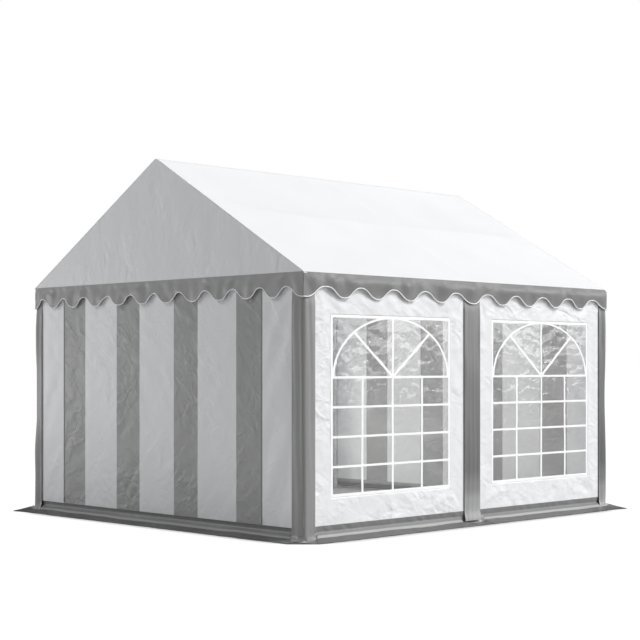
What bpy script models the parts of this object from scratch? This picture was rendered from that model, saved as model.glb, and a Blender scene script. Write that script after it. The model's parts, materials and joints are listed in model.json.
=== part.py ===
"""Party marquee, two bays long: a bolted frame of round steel tube under a fitted coated-fabric cover.

Metres, +Z up. The origin is on the ground at the middle of the tent. The ridge runs along Y, the
entrance gable faces -Y, and the long walls with the windows face +X and -X.
"""

import math

import bmesh
import bpy
from mathutils import Matrix, Vector

# Driving dimensions of the cover
WIDTH = 3.620
BAY = 2.000
BAYS = 2
LENGTH = BAY * BAYS
EAVES_Z = 2.087
PITCH = math.radians(30.0)
CLOTH = 0.003
TOUCH = 0.0003

# The walls hang inside the valance, and the strips over the posts lie between the two
VALANCE_HANG = 0.010
SIDE_WALL_FOOT_Z = 0.130
GABLE_WALL_FOOT_Z = 0.114
WALL_TOP_Z = 2.060

# Valance lobes
VALANCE_LOBE = 0.205
VALANCE_NOTCH = 0.110
SIDE_LOBES = 10
GABLE_LOBES = 11
POINTS_A_LOBE = 8

# Windows in the long walls
WINDOW_WIDTH = 1.408
WINDOW_SILL_Z = 0.346
WINDOW_HEAD_Z = 1.756
FILM = 0.002

# Strips over the posts, and the ground flap round the foot
COVER_LEG = 0.126
MID_COVER_WIDTH = 0.210
COVER_FOOT_Z = 0.050
FLAP_REACH = 0.137
FLAP_CORNER_CUT = 0.067

# The entrance hangs between two zips
ZIP_FROM_EDGE = 0.461

# Steel tube frame
TUBE_R = 0.019
SLEEVE_R = 0.0225
HUB_SLEEVE_R = 0.0230
SLEEVE_LENGTH = 0.100
TUBE_SIDES = 16
FOOT_PLATE = 0.120
FOOT_PLATE_THICK = 0.005
PEG_HOLE_R = 0.007
PEG_HOLE_INSET = 0.018
PURLIN_SHARE = 0.48

HALF_WIDTH = WIDTH / 2
HALF_LENGTH = LENGTH / 2
SLOPE = math.tan(PITCH)
RIDGE_Z = EAVES_Z + HALF_WIDTH * SLOPE
WALL_X = HALF_WIDTH - VALANCE_HANG
WALL_Y = HALF_LENGTH - VALANCE_HANG
POST_X = WALL_X - CLOTH - TOUCH - HUB_SLEEVE_R
POST_Y = WALL_Y - CLOTH - TOUCH - HUB_SLEEVE_R
FRAME_DROP = (CLOTH + TOUCH + HUB_SLEEVE_R) / math.cos(PITCH)
RIDGE_HUB_Z = RIDGE_Z - FRAME_DROP
EAVES_HUB_Z = RIDGE_HUB_Z - POST_X * SLOPE
UP_SLOPE = Vector((-math.cos(PITCH), 0, math.sin(PITCH)))

SIDES = {"left": -1, "right": 1}
FRAMES = {"front": -POST_Y, "mid": 0.0, "back": POST_Y}


def clear_scene():
    """Removes the startup objects and makes the marquee's collection."""
    for obj in list(bpy.data.objects):
        bpy.data.objects.remove(obj)
    marquee = bpy.data.collections.new("marquee")
    bpy.context.scene.collection.children.link(marquee)
    return marquee


def plain_material(name, colour, roughness, metallic=0.0):
    """A Principled material of one colour."""
    made = bpy.data.materials.new(name)
    made.use_nodes = True
    shader = made.node_tree.nodes["Principled BSDF"]
    shader.inputs["Base Color"].default_value = (*colour, 1.0)
    shader.inputs["Roughness"].default_value = roughness
    shader.inputs["Metallic"].default_value = metallic
    return made


MARQUEE = clear_scene()
WHITE_CLOTH = plain_material("white_cloth", (0.86, 0.87, 0.89), 0.45)
GREY_CLOTH = plain_material("grey_cloth", (0.27, 0.27, 0.28), 0.45)
CLEAR_FILM = plain_material("clear_film", (0.75, 0.78, 0.80), 0.10)
STEEL = plain_material("galvanised_steel", (0.55, 0.57, 0.58), 0.40, 0.9)


def add_node(name, data, material, matrix=None):
    """One named object of the marquee."""
    obj = bpy.data.objects.new(name, data)
    if matrix is not None:
        obj.matrix_world = matrix
    obj.data.materials.clear()
    obj.data.materials.append(material)
    MARQUEE.objects.link(obj)
    return obj


def block(name, low, high, material):
    """A rectangular piece between two corners."""
    low, high = Vector(low), Vector(high)
    shape = bmesh.new()
    bmesh.ops.create_cube(shape, size=1.0)
    bmesh.ops.scale(shape, vec=high - low, verts=shape.verts)
    mesh = bpy.data.meshes.new(name)
    shape.to_mesh(mesh)
    shape.free()
    return add_node(name, mesh, material, Matrix.Translation((low + high) / 2))


def tube_mesh(name, start, end, radius):
    """A round bar from start to end, with its place in its points."""
    start, end = Vector(start), Vector(end)
    along = end - start
    turn = along.to_track_quat("Z", "Y").to_matrix().to_4x4()
    shape = bmesh.new()
    bmesh.ops.create_cone(
        shape,
        cap_ends=True,
        segments=TUBE_SIDES,
        radius1=radius,
        radius2=radius,
        depth=along.length,
        matrix=Matrix.Translation((start + end) / 2) @ turn,
    )
    mesh = bpy.data.meshes.new(name)
    shape.to_mesh(mesh)
    shape.free()
    mesh.shade_smooth()
    mesh.set_sharp_from_angle(angle=math.radians(40))
    return mesh


def tube(name, start, end, radius=TUBE_R):
    return add_node(name, tube_mesh(name, start, end, radius), STEEL)


def weld_together(name, meshes):
    """One steel piece from several overlapping shapes."""
    first = bpy.data.objects.new(name, meshes[0])
    MARQUEE.objects.link(first)
    for number, mesh in enumerate(meshes[1:]):
        other = bpy.data.objects.new(f"{name}_joined_{number}", mesh)
        MARQUEE.objects.link(other)
        joint = first.modifiers.new("weld", "BOOLEAN")
        joint.operation = "UNION"
        joint.object = other
    graph = bpy.context.evaluated_depsgraph_get()
    joined = bpy.data.meshes.new_from_object(first.evaluated_get(graph))
    for obj in [o for o in MARQUEE.objects if o.name.startswith(name)]:
        bpy.data.objects.remove(obj)
    joined.set_sharp_from_angle(angle=math.radians(40))
    return add_node(name, joined, STEEL)


def flat_cloth(name, outlines, face, material, thickness=CLOTH):
    """A flat sheet cut to closed outlines, standing on a matrix whose X and Y are the outline's own."""
    cut = bpy.data.curves.new(name, "CURVE")
    cut.dimensions = "2D"
    cut.fill_mode = "BOTH"
    cut.extrude = thickness / 2
    for outline in outlines:
        spline = cut.splines.new("POLY")
        spline.points.add(len(outline) - 1)
        for point, (u, v) in zip(spline.points, outline):
            point.co = (u, v, 0.0, 1.0)
        spline.use_cyclic_u = True
    return add_node(name, cut, material, face)


def rectangle(low_u, low_v, high_u, high_v):
    return [(low_u, low_v), (high_u, low_v), (high_u, high_v), (low_u, high_v)]


def side_face(side, outer_x, thickness=CLOTH):
    """Outline u runs along +Y and v up, on a sheet whose outer face is at outer_x on that side."""
    middle = side * (outer_x - thickness / 2)
    return Matrix(((0, 0, 1, middle), (1, 0, 0, 0), (0, 1, 0, 0), (0, 0, 0, 1)))


def gable_face(end, outer_y, thickness=CLOTH):
    """Outline u runs along +X and v up, on a sheet whose outer face is at outer_y on that end."""
    middle = end * (outer_y - thickness / 2)
    return Matrix(((1, 0, 0, 0), (0, 0, -1, middle), (0, 1, 0, 0), (0, 0, 0, 1)))


# Steel frame: posts on foot plates, each with a welded head that takes the rails and the rafter


def foot_plate_mesh(name, x, y):
    """A square plate with a peg hole in each corner."""
    half = FOOT_PLATE / 2
    cut = bpy.data.curves.new(name, "CURVE")
    cut.dimensions = "2D"
    cut.fill_mode = "BOTH"
    cut.extrude = FOOT_PLATE_THICK / 2
    outlines = [rectangle(-half, -half, half, half)]
    reach = half - PEG_HOLE_INSET
    for u in (-reach, reach):
        for v in (-reach, reach):
            turns = [math.radians(45 * step) for step in range(8)]
            outlines.append([(u + PEG_HOLE_R * math.cos(t), v + PEG_HOLE_R * math.sin(t)) for t in turns])
    for outline in outlines:
        spline = cut.splines.new("POLY")
        spline.points.add(len(outline) - 1)
        for point, (u, v) in zip(spline.points, outline):
            point.co = (u, v, 0.0, 1.0)
        spline.use_cyclic_u = True
    plate = bpy.data.objects.new(name, cut)
    MARQUEE.objects.link(plate)
    graph = bpy.context.evaluated_depsgraph_get()
    mesh = bpy.data.meshes.new_from_object(plate.evaluated_get(graph))
    bpy.data.objects.remove(plate)
    shape = bmesh.new()
    shape.from_mesh(mesh)
    bmesh.ops.remove_doubles(shape, verts=shape.verts, dist=0.00001)
    bmesh.ops.translate(shape, verts=shape.verts, vec=(x, y, FOOT_PLATE_THICK / 2))
    shape.to_mesh(mesh)
    shape.free()
    return mesh


def post(frame, side_name):
    """A post with its foot plate and foot sleeve, and the head with a sleeve for each tube it takes."""
    side, y = SIDES[side_name], FRAMES[frame]
    name = f"post_{frame}_{side_name}"
    x = side * POST_X
    hub = Vector((x, y, EAVES_HUB_Z))
    slope = Vector((side * UP_SLOPE.x, 0, UP_SLOPE.z))
    shapes = [
        tube_mesh(name, (x, y, FOOT_PLATE_THICK * 0.4), (x, y, EAVES_HUB_Z - 0.05), TUBE_R),
        foot_plate_mesh(name, x, y),
        tube_mesh(name, (x, y, FOOT_PLATE_THICK * 0.6), (x, y, SLEEVE_LENGTH), SLEEVE_R),
        tube_mesh(name, hub - Vector((0, 0, SLEEVE_LENGTH)), hub + Vector((0, 0, 0.012)), HUB_SLEEVE_R),
        tube_mesh(name, hub - slope * 0.010, hub + slope * SLEEVE_LENGTH, 0.0220),
    ]
    rail_start = -SLEEVE_LENGTH if frame != "front" else -0.015
    rail_end = SLEEVE_LENGTH if frame != "back" else 0.015
    shapes.append(tube_mesh(name, hub + Vector((0, rail_start, 0)), hub + Vector((0, rail_end, 0)), 0.0225))
    if frame != "mid":
        inward = Vector((-side, 0, 0))
        shapes.append(tube_mesh(name, hub - inward * 0.004, hub + inward * SLEEVE_LENGTH, 0.0215))
    return weld_together(name, shapes)


def purlin_place(side):
    """Where the purlin's middle line crosses a rafter, seen along the tent."""
    across = HALF_WIDTH * PURLIN_SHARE
    return Vector((side * across, 0, RIDGE_HUB_Z - across * SLOPE))


def roof_arch(frame):
    """Two rafters held at the ridge by a welded elbow, each with a cross sleeve for the purlins."""
    y = FRAMES[frame]
    name = f"roof_arch_{frame}"
    ridge = Vector((0, y, RIDGE_HUB_Z))
    backward = 1 if frame != "front" else 0
    forward = 1 if frame != "back" else 0
    shapes = []
    for side in SIDES.values():
        slope = Vector((side * UP_SLOPE.x, 0, UP_SLOPE.z))
        start = Vector((side * POST_X, y, EAVES_HUB_Z)) + slope * (SLEEVE_LENGTH + TOUCH)
        shapes.append(tube_mesh(name, start, ridge + slope * 0.004, TUBE_R))
        radius = SLEEVE_R + 0.0003 * side
        shapes.append(tube_mesh(name, ridge - slope * SLEEVE_LENGTH, ridge + slope * 0.012, radius))
        crossing = purlin_place(side) + Vector((0, y, 0))
        half_sleeve = slope * SLEEVE_LENGTH / 2
        shapes.append(tube_mesh(name, crossing - half_sleeve, crossing + half_sleeve, SLEEVE_R))
        low = crossing - Vector((0, 0.004 + backward * (SLEEVE_LENGTH - 0.004), 0))
        high = crossing + Vector((0, 0.004 + forward * (SLEEVE_LENGTH - 0.004), 0))
        shapes.append(tube_mesh(name, low, high, 0.0220))
    low = ridge - Vector((0, 0.015 + backward * (SLEEVE_LENGTH - 0.015), 0))
    high = ridge + Vector((0, 0.015 + forward * (SLEEVE_LENGTH - 0.015), 0))
    shapes.append(tube_mesh(name, low, high, 0.0220))
    return weld_together(name, shapes)


def rails():
    """Eaves, ridge and mid-slope rails, a length in each bay, and a tie across each gable."""
    spans = {"front": (FRAMES["front"], FRAMES["mid"]), "back": (FRAMES["mid"], FRAMES["back"])}
    clear = SLEEVE_LENGTH + TOUCH
    for bay, (start, end) in spans.items():
        tube(f"ridge_rail_{bay}", (0, start + clear, RIDGE_HUB_Z), (0, end - clear, RIDGE_HUB_Z))
        for side_name, side in SIDES.items():
            x = side * POST_X
            tube(f"eaves_rail_{side_name}_{bay}", (x, start + clear, EAVES_HUB_Z), (x, end - clear, EAVES_HUB_Z))
            low = purlin_place(side) + Vector((0, start + clear, 0))
            high = purlin_place(side) + Vector((0, end - clear, 0))
            tube(f"purlin_{side_name}_{bay}", low, high)
    for frame in ("front", "back"):
        y = FRAMES[frame]
        reach = POST_X - clear
        tube(f"gable_tie_{frame}", (-reach, y, EAVES_HUB_Z), (reach, y, EAVES_HUB_Z))


# Roof cover, gables and valance, which are sewn together on the real tent


def roof_cover():
    """One sheet over the ridge from eaves to eaves."""
    drop = CLOTH / math.cos(PITCH)
    half = HALF_WIDTH
    outline = [(-half, EAVES_Z - drop), (0, RIDGE_Z - drop), (half, EAVES_Z - drop)]
    outline += [(half, EAVES_Z), (0, RIDGE_Z), (-half, EAVES_Z)]
    flat_cloth("roof_cover", [outline], gable_face(1, LENGTH / 2, LENGTH), WHITE_CLOTH, LENGTH)


def gable_triangle(name, end):
    """The white triangle that closes a gable above the valance."""
    drop = (CLOTH + TOUCH) / math.cos(PITCH)
    base_z = EAVES_Z + TOUCH
    reach = (RIDGE_Z - drop - base_z) / SLOPE
    outline = [(-reach, base_z), (reach, base_z), (0, RIDGE_Z - drop)]
    flat_cloth(name, [outline], gable_face(end, HALF_LENGTH), WHITE_CLOTH)


def valance_outline(half, lobes, top_z):
    """A band with a waved lower edge: a lobe at each end and a whole number of waves between."""
    middle = EAVES_Z - (VALANCE_LOBE + VALANCE_NOTCH) / 2
    swing = (VALANCE_LOBE - VALANCE_NOTCH) / 2
    steps = lobes * POINTS_A_LOBE
    lower = []
    for step in range(steps + 1):
        share = step / steps
        wave = math.cos(2 * math.pi * lobes * share)
        lower.append((-half + 2 * half * share, middle - swing * wave))
    return lower + [(half, top_z), (-half, top_z)]


def valances():
    under_roof = EAVES_Z - CLOTH / math.cos(PITCH) - TOUCH
    for side_name, side in SIDES.items():
        outline = valance_outline(HALF_LENGTH, SIDE_LOBES, under_roof)
        flat_cloth(f"valance_{side_name}", [outline], side_face(side, HALF_WIDTH), GREY_CLOTH)
    for end_name, end in (("front", -1), ("back", 1)):
        half = HALF_WIDTH - CLOTH - TOUCH
        outline = valance_outline(half, GABLE_LOBES, under_roof)
        flat_cloth(f"valance_{end_name}", [outline], gable_face(end, HALF_LENGTH), GREY_CLOTH)


# Walls


def long_walls():
    """A white panel along each side, with a clear film window welded into it in each bay."""
    half_window = WINDOW_WIDTH / 2
    for side_name, side in SIDES.items():
        outlines = [rectangle(-WALL_Y, SIDE_WALL_FOOT_Z, WALL_Y, WALL_TOP_Z)]
        for bay, centre in (("front", -BAY / 2), ("back", BAY / 2)):
            left, right = centre - half_window, centre + half_window
            outlines.append(rectangle(left, WINDOW_SILL_Z, right, WINDOW_HEAD_Z))
            low_z, high_z = WINDOW_SILL_Z + TOUCH, WINDOW_HEAD_Z - TOUCH
            film = rectangle(left + TOUCH, low_z, right - TOUCH, high_z)
            face = side_face(side, WALL_X - (CLOTH - FILM) / 2, FILM)
            flat_cloth(f"{side_name}_window_{bay}", [film], face, CLEAR_FILM, FILM)
        flat_cloth(f"{side_name}_wall", outlines, side_face(side, WALL_X), WHITE_CLOTH)


def gable_walls():
    """The entrance is a door between two zips, with a fixed panel each side. The back is one panel."""
    outer = WALL_X - CLOTH - TOUCH
    door = WALL_X - ZIP_FROM_EDGE
    low_y, high_y = -WALL_Y, -WALL_Y + CLOTH
    foot, top = GABLE_WALL_FOOT_Z, WALL_TOP_Z
    block("front_door", (-door + TOUCH, low_y, foot), (door - TOUCH, high_y, top), WHITE_CLOTH)
    for side_name, side in SIDES.items():
        low_x, high_x = sorted((side * door, side * outer))
        block(f"front_wall_{side_name}", (low_x, low_y, foot), (high_x, high_y, top), WHITE_CLOTH)
    block("back_wall", (-outer, WALL_Y - CLOTH, foot), (outer, WALL_Y, top), WHITE_CLOTH)


def post_strips():
    """Grey strips that close over the posts: an angle at each corner, a flat strip at mid length."""
    low_z, high_z = COVER_FOOT_Z, WALL_TOP_Z
    height = high_z - low_z
    skin = CLOTH
    inner_x, inner_y = WALL_X + TOUCH, WALL_Y + TOUCH
    for end_name, end in (("front", -1), ("back", 1)):
        for side_name, side in SIDES.items():
            corner = [
                (inner_x - COVER_LEG, inner_y),
                (inner_x, inner_y),
                (inner_x, inner_y - COVER_LEG),
                (inner_x + skin, inner_y - COVER_LEG),
                (inner_x + skin, inner_y + skin),
                (inner_x - COVER_LEG, inner_y + skin),
            ]
            outline = [(side * x, end * y) for x, y in corner]
            middle = Matrix.Translation((0, 0, (low_z + high_z) / 2))
            flat_cloth(f"corner_strip_{end_name}_{side_name}", [outline], middle, GREY_CLOTH, height)
    for side_name, side in SIDES.items():
        across = sorted((side * inner_x, side * (inner_x + skin)))
        half = MID_COVER_WIDTH / 2
        block(f"mid_strip_{side_name}", (across[0], -half, low_z), (across[1], half, high_z), GREY_CLOTH)


# Ground flap


def flap_profile(top_z):
    """Ring of (outward, height) points round the bent sheet, from a centre line offset both ways."""
    line = [(-CLOTH / 2, top_z), (-CLOTH / 2, 0.042), (0.012, 0.028), (0.045, 0.021), (0.090, 0.010)]
    line.append((FLAP_REACH, CLOTH / 2 + TOUCH))
    line = [Vector(p) for p in line]
    outer, inner = [], []
    for i, here in enumerate(line):
        before = (here - line[i - 1]).normalized() if i else (line[1] - here).normalized()
        after = (line[i + 1] - here).normalized() if i + 1 < len(line) else before
        bend = (before + after).normalized()
        across = Vector((-bend.y, bend.x))
        reach = CLOTH / 2 / max(0.5, bend.dot(before))
        outer.append(here + across * reach)
        inner.append(here - across * reach)
    return outer + inner[::-1]


def ground_flap(name, half, wall, top_z, place, cut_ends=()):
    """A flap along one side with mitred ends. Its own +X is outward from the wall face and +Y along it."""
    shape = bmesh.new()
    ring = [shape.verts.new((wall + p.x, 0, p.y)) for p in flap_profile(top_z)]
    face = shape.faces.new(ring)
    made = bmesh.ops.extrude_face_region(shape, geom=[face])["geom"]
    far = [v for v in made if isinstance(v, bmesh.types.BMVert)]
    for verts, end in ((ring, -1), (far, 1)):
        for vert in verts:
            vert.co.y = end * (half + (vert.co.x - wall) - TOUCH)
    for end in cut_ends:
        reach = wall + half + 2 * FLAP_CORNER_CUT / math.sqrt(2)
        normal = Vector((1, end, 0)).normalized()
        bmesh.ops.bisect_plane(
            shape,
            geom=shape.verts[:] + shape.edges[:] + shape.faces[:],
            plane_co=Vector((reach, 0, 0)),
            plane_no=normal,
            clear_outer=True,
        )
        bmesh.ops.holes_fill(shape, edges=shape.edges[:], sides=0)
    bmesh.ops.recalc_face_normals(shape, faces=shape.faces[:])
    mesh = bpy.data.meshes.new(name)
    shape.to_mesh(mesh)
    shape.free()
    return add_node(name, mesh, GREY_CLOTH, place)


def ground_flaps():
    turn = {"right": 0, "back": 90, "left": 180, "front": 270}
    side_top = SIDE_WALL_FOOT_Z - TOUCH
    gable_top = GABLE_WALL_FOOT_Z - TOUCH
    for name, half, wall, top_z, cuts in (
        ("right", WALL_Y, WALL_X, side_top, (-1,)),
        ("back", WALL_X, WALL_Y, gable_top, ()),
        ("left", WALL_Y, WALL_X, side_top, ()),
        ("front", WALL_X, WALL_Y, gable_top, (1,)),
    ):
        place = Matrix.Rotation(math.radians(turn[name]), 4, "Z")
        ground_flap(f"ground_flap_{name}", half, wall, top_z, place, cuts)


for frame_name in FRAMES:
    for side_key in SIDES:
        post(frame_name, side_key)
    roof_arch(frame_name)
rails()
roof_cover()
gable_triangle("gable_front", -1)
gable_triangle("gable_back", 1)
valances()
long_walls()
gable_walls()
post_strips()
ground_flaps()
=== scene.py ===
"""The looks of a two-bay party marquee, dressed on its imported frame. Metres, +Z up, ridge along Y."""

import json
import math

import bmesh
import bpy
from mathutils import Matrix, Vector, noise


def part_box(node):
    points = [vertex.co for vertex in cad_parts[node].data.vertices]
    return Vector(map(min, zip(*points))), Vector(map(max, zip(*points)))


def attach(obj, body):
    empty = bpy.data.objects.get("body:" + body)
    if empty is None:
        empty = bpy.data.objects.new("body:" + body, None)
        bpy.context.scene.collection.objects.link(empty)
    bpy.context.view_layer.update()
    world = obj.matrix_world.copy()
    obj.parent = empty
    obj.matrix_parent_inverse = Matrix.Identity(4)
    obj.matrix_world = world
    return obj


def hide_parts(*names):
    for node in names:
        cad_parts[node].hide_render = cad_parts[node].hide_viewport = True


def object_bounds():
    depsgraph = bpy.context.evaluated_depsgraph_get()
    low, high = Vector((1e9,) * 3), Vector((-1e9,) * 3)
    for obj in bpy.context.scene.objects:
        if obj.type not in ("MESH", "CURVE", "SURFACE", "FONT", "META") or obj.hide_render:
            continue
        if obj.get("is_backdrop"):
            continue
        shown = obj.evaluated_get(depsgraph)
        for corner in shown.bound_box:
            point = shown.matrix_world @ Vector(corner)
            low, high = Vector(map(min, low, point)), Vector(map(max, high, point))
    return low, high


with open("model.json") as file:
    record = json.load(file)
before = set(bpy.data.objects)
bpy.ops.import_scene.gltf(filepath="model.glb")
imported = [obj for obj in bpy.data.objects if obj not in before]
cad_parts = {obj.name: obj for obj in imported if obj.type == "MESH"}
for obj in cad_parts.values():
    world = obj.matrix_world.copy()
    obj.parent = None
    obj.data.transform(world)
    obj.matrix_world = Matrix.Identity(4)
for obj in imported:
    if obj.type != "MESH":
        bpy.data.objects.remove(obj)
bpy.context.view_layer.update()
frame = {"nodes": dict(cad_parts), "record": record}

# Tube frame
# Posts, rafters and rails of 38 mm round steel tube, hot-dip galvanised after welding.
# The tubes push into welded sleeves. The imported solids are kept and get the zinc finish.

ZINC_DARK = (0.56, 0.57, 0.58, 1)
ZINC_LIGHT = (0.72, 0.73, 0.74, 1)
SHARP_ANGLE = math.radians(40)


def new_material(name):
    """A Principled material, its node tree and its shader."""
    made = bpy.data.materials.new(name)
    made.use_nodes = True
    return made, made.node_tree, made.node_tree.nodes["Principled BSDF"]


def fill(tree, node, sockets):
    """Gives a node its inputs: another node's output is linked, and any other value is set."""
    for name, value in sockets.items():
        if isinstance(value, bpy.types.NodeSocket):
            tree.links.new(value, node.inputs[name])
        else:
            node.inputs[name].default_value = value


def add_node(tree, kind, sockets=None, **settings):
    """A shader node with its settings and inputs."""
    made = tree.nodes.new("ShaderNode" + kind)
    for name, value in settings.items():
        setattr(made, name, value)
    fill(tree, made, sockets or {})
    return made


def in_range(tree, value, low, high, start=0.0, end=1.0, **settings):
    """The value carried from the span start to end into the span low to high."""
    sockets = {"Value": value, "From Min": start, "From Max": end, "To Min": low, "To Max": high}
    return add_node(tree, "MapRange", sockets, **settings).outputs["Result"]


def mix_colours(tree, share, first, second, blend="MIX"):
    sockets = {"Factor": share, "A": first, "B": second}
    return add_node(tree, "Mix", sockets, data_type="RGBA", blend_type=blend).outputs["Result"]


def object_place(tree):
    """Coordinates that stay with the piece, in metres."""
    return add_node(tree, "TexCoord").outputs["Object"]


def zinc_material():
    """Galvanised steel: grey zinc with large pale crystals and a satin, slightly uneven shine."""
    made, tree, shader = new_material("galvanised_zinc")
    crystals = add_node(tree, "TexVoronoi", {"Vector": object_place(tree), "Scale": 70}, feature="F1")
    crystal = add_node(tree, "SeparateColor", {"Color": crystals.outputs["Color"]})
    tone = mix_colours(tree, crystal.outputs["Red"], ZINC_DARK, ZINC_LIGHT)
    shine = in_range(tree, crystal.outputs["Green"], 0.32, 0.52)
    fill(tree, shader, {"Base Color": tone, "Roughness": shine, "Metallic": 0.35})
    return made


zinc = zinc_material()
tube_nodes = [row["node"] for row in frame["record"]["subparts"] if row["material_slot"] == "steel_tube"]
for node_name in tube_nodes:
    tube = frame["nodes"][node_name]
    tube.data.materials.clear()
    tube.data.materials.append(zinc)
    tube.data.shade_smooth()
    tube.data.set_sharp_from_angle(angle=SHARP_ANGLE)

# Coated cloth
# The whole cover is polyester scrim coated with soft vinyl, half a millimetre thick. Its weave shows
# through as a fine grid, folding leaves faint sharp creases, and the surface has a soft semi-gloss.

WEAVE_PITCH = 0.0016
CLOTH_THICKNESS = 0.0012
BORDER_ROW = 0.0015


def new_group(name, numbers, results):
    """A node group that takes the cloth's layout and those numbers, and gives those results."""
    group = bpy.data.node_groups.new(name, "ShaderNodeTree")
    group.interface.new_socket("Cloth", in_out="INPUT", socket_type="NodeSocketVector")
    for number, usual in numbers.items():
        socket = group.interface.new_socket(number, in_out="INPUT", socket_type="NodeSocketFloat")
        socket.default_value = usual
    for result in results:
        group.interface.new_socket(result, in_out="OUTPUT", socket_type="NodeSocketFloat")
    return group, group.nodes.new("NodeGroupInput").outputs, group.nodes.new("NodeGroupOutput")


def work_out(tree, operation, *values):
    """The result of that operation on those values."""
    return add_node(tree, "Math", dict(enumerate(values)), operation=operation).outputs[0]


def axis_of(tree, place, axis):
    """One coordinate of a place."""
    return add_node(tree, "SeparateXYZ", {"Vector": place}).outputs[axis]


def grain_of(tree, place, scale, detail=2.0, distortion=0.0):
    """A noise between 0 and 1."""
    sockets = {"Vector": place, "Scale": scale, "Detail": detail, "Distortion": distortion}
    return add_node(tree, "TexNoise", sockets, normalize=True).outputs["Fac"]


def turn_and_scale(tree, place, angle, scale):
    """The layout turned by the angle, then scaled along its new axes."""
    turned = add_node(tree, "VectorRotate", {"Vector": place, "Angle": angle}, rotation_type="Z_AXIS")
    return add_node(tree, "Mapping", {"Vector": turned.outputs[0], "Scale": scale}).outputs[0]


def weave_group():
    """Height of the scrim's fine square grid under the coating."""
    group, given, end = new_group("scrim_weave", {}, ["Height"])
    threads = []
    for axis in ("X", "Y"):
        turns = work_out(group, "MULTIPLY", axis_of(group, given["Cloth"], axis), 2 * math.pi / WEAVE_PITCH)
        threads.append(work_out(group, "SINE", turns))
    fill(group, end, {"Height": work_out(group, "MAXIMUM", *threads)})
    return group


def crease_group():
    """Height of soft slanting folds with a few crisp creases, where the cloth was folded."""
    usual = {"Turn": 0.8, "Size": 6.0, "Crisp": 0.0}
    group, given, end = new_group("folding_creases", usual, ["Height", "Patches"])
    other_way = work_out(group, "MULTIPLY", given["Turn"], -0.75)
    folds = []
    for angle, detail, scale_up in (
        (given["Turn"], 1.8, 1.0),
        (other_way, 1.4, 1.2),
        (given["Turn"], 1.0, 1.3),
    ):
        long_way = turn_and_scale(group, given["Cloth"], angle, (0.5, 1.0, 1.0))
        larger = work_out(group, "MULTIPLY", given["Size"], scale_up)
        folds.append(grain_of(group, long_way, larger, detail, 0.9))
    distance = work_out(group, "ABSOLUTE", work_out(group, "SUBTRACT", folds[2], 0.5))
    crisp = in_range(group, distance, given["Crisp"], 0.0, end=0.09)
    patches = grain_of(group, given["Cloth"], 2.3, 1.0)
    where = in_range(group, patches, 0.30, 1.0, 0.36, 0.68, interpolation_type="SMOOTHSTEP")
    crossed = work_out(group, "SUBTRACT", work_out(group, "ADD", folds[0], folds[1]), 1.0)
    height = work_out(group, "ADD", crossed, crisp)
    fill(group, end, {"Height": work_out(group, "MULTIPLY", height, where), "Patches": patches})
    return group


weave = weave_group()
creases = crease_group()


def cloth_layout(tree):
    """Coordinates in the flat cloth, in metres."""
    return add_node(tree, "UVMap", uv_map="cloth").outputs["UV"]


def cloth_material(name, colour, roughness, crease_depth, crisp, crease_turn=0.8, white_creases=1.0):
    """Coated cloth. colour is plain, or a function that builds it on the cloth's flat layout.

    white_creases is how deep the creases are in white strips, as a share of those in grey strips.
    """
    made, tree, shader = new_material(name)
    layout = cloth_layout(tree)
    grid = add_node(tree, "Group", {"Cloth": layout}, node_tree=weave)
    sizes = {"Cloth": layout, "Turn": crease_turn, "Size": 8.0, "Crisp": crisp}
    folds = add_node(tree, "Group", sizes, node_tree=creases)
    patches = folds.outputs["Patches"]
    base = colour(tree, layout) if callable(colour) else (*colour, 1)
    tone = mix_colours(tree, 1.0, base, in_range(tree, patches, 0.965, 1.0), "MULTIPLY")
    shine = in_range(tree, patches, roughness - 0.04, roughness + 0.06)
    fine = add_node(tree, "Bump", {"Distance": 0.00002, "Height": grid.outputs["Height"]})
    relief = {"Distance": crease_depth, "Height": folds.outputs["Height"], "Normal": fine.outputs["Normal"]}
    coarse = add_node(tree, "Bump", relief)
    if white_creases < 1.0:
        fill(tree, coarse, {"Strength": in_range(tree, base, 1.0, white_creases, 0.35, 0.80)})
    fill(tree, shader, {"Base Color": tone, "Roughness": shine, "Normal": coarse.outputs["Normal"]})
    shader.inputs["Specular IOR Level"].default_value = 0.5
    return made


WHITE = (0.80, 0.805, 0.82)
gable_cloth = cloth_material("gable_coated_cloth", WHITE, 0.42, 0.0100, 0.06, 1.4)
white_cloth = cloth_material("white_coated_cloth", WHITE, 0.42, 0.0150, 0.08, -0.55)


def cut_along(shape, place, direction, keep_all=True):
    """A straight cut through the flat cloth at that place, across that direction."""
    everything = shape.verts[:] + shape.edges[:] + shape.faces[:]
    bmesh.ops.bisect_plane(
        shape, geom=everything, plane_co=place, plane_no=direction, clear_outer=not keep_all
    )


def flat_cloth(along, up, cell):
    """A flat grid between two spans, with cells of about that size and a narrow row at its borders."""
    wide, tall = along[1] - along[0], up[1] - up[0]
    shape = bmesh.new()
    across, high = max(1, round(wide / cell[0])), max(1, round(tall / cell[1]))
    bmesh.ops.create_grid(shape, x_segments=across, y_segments=high, size=0.5)
    bmesh.ops.scale(shape, vec=(wide, tall, 1), verts=shape.verts)
    centre = (along[0] + wide / 2, up[0] + tall / 2, 0)
    bmesh.ops.translate(shape, vec=centre, verts=shape.verts)
    for border in (along[0] + BORDER_ROW, along[1] - BORDER_ROW):
        cut_along(shape, (border, 0, 0), (1, 0, 0))
    for border in (up[0] + BORDER_ROW, up[1] - BORDER_ROW):
        cut_along(shape, (0, border, 0), (0, 1, 0))
    return shape


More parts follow.
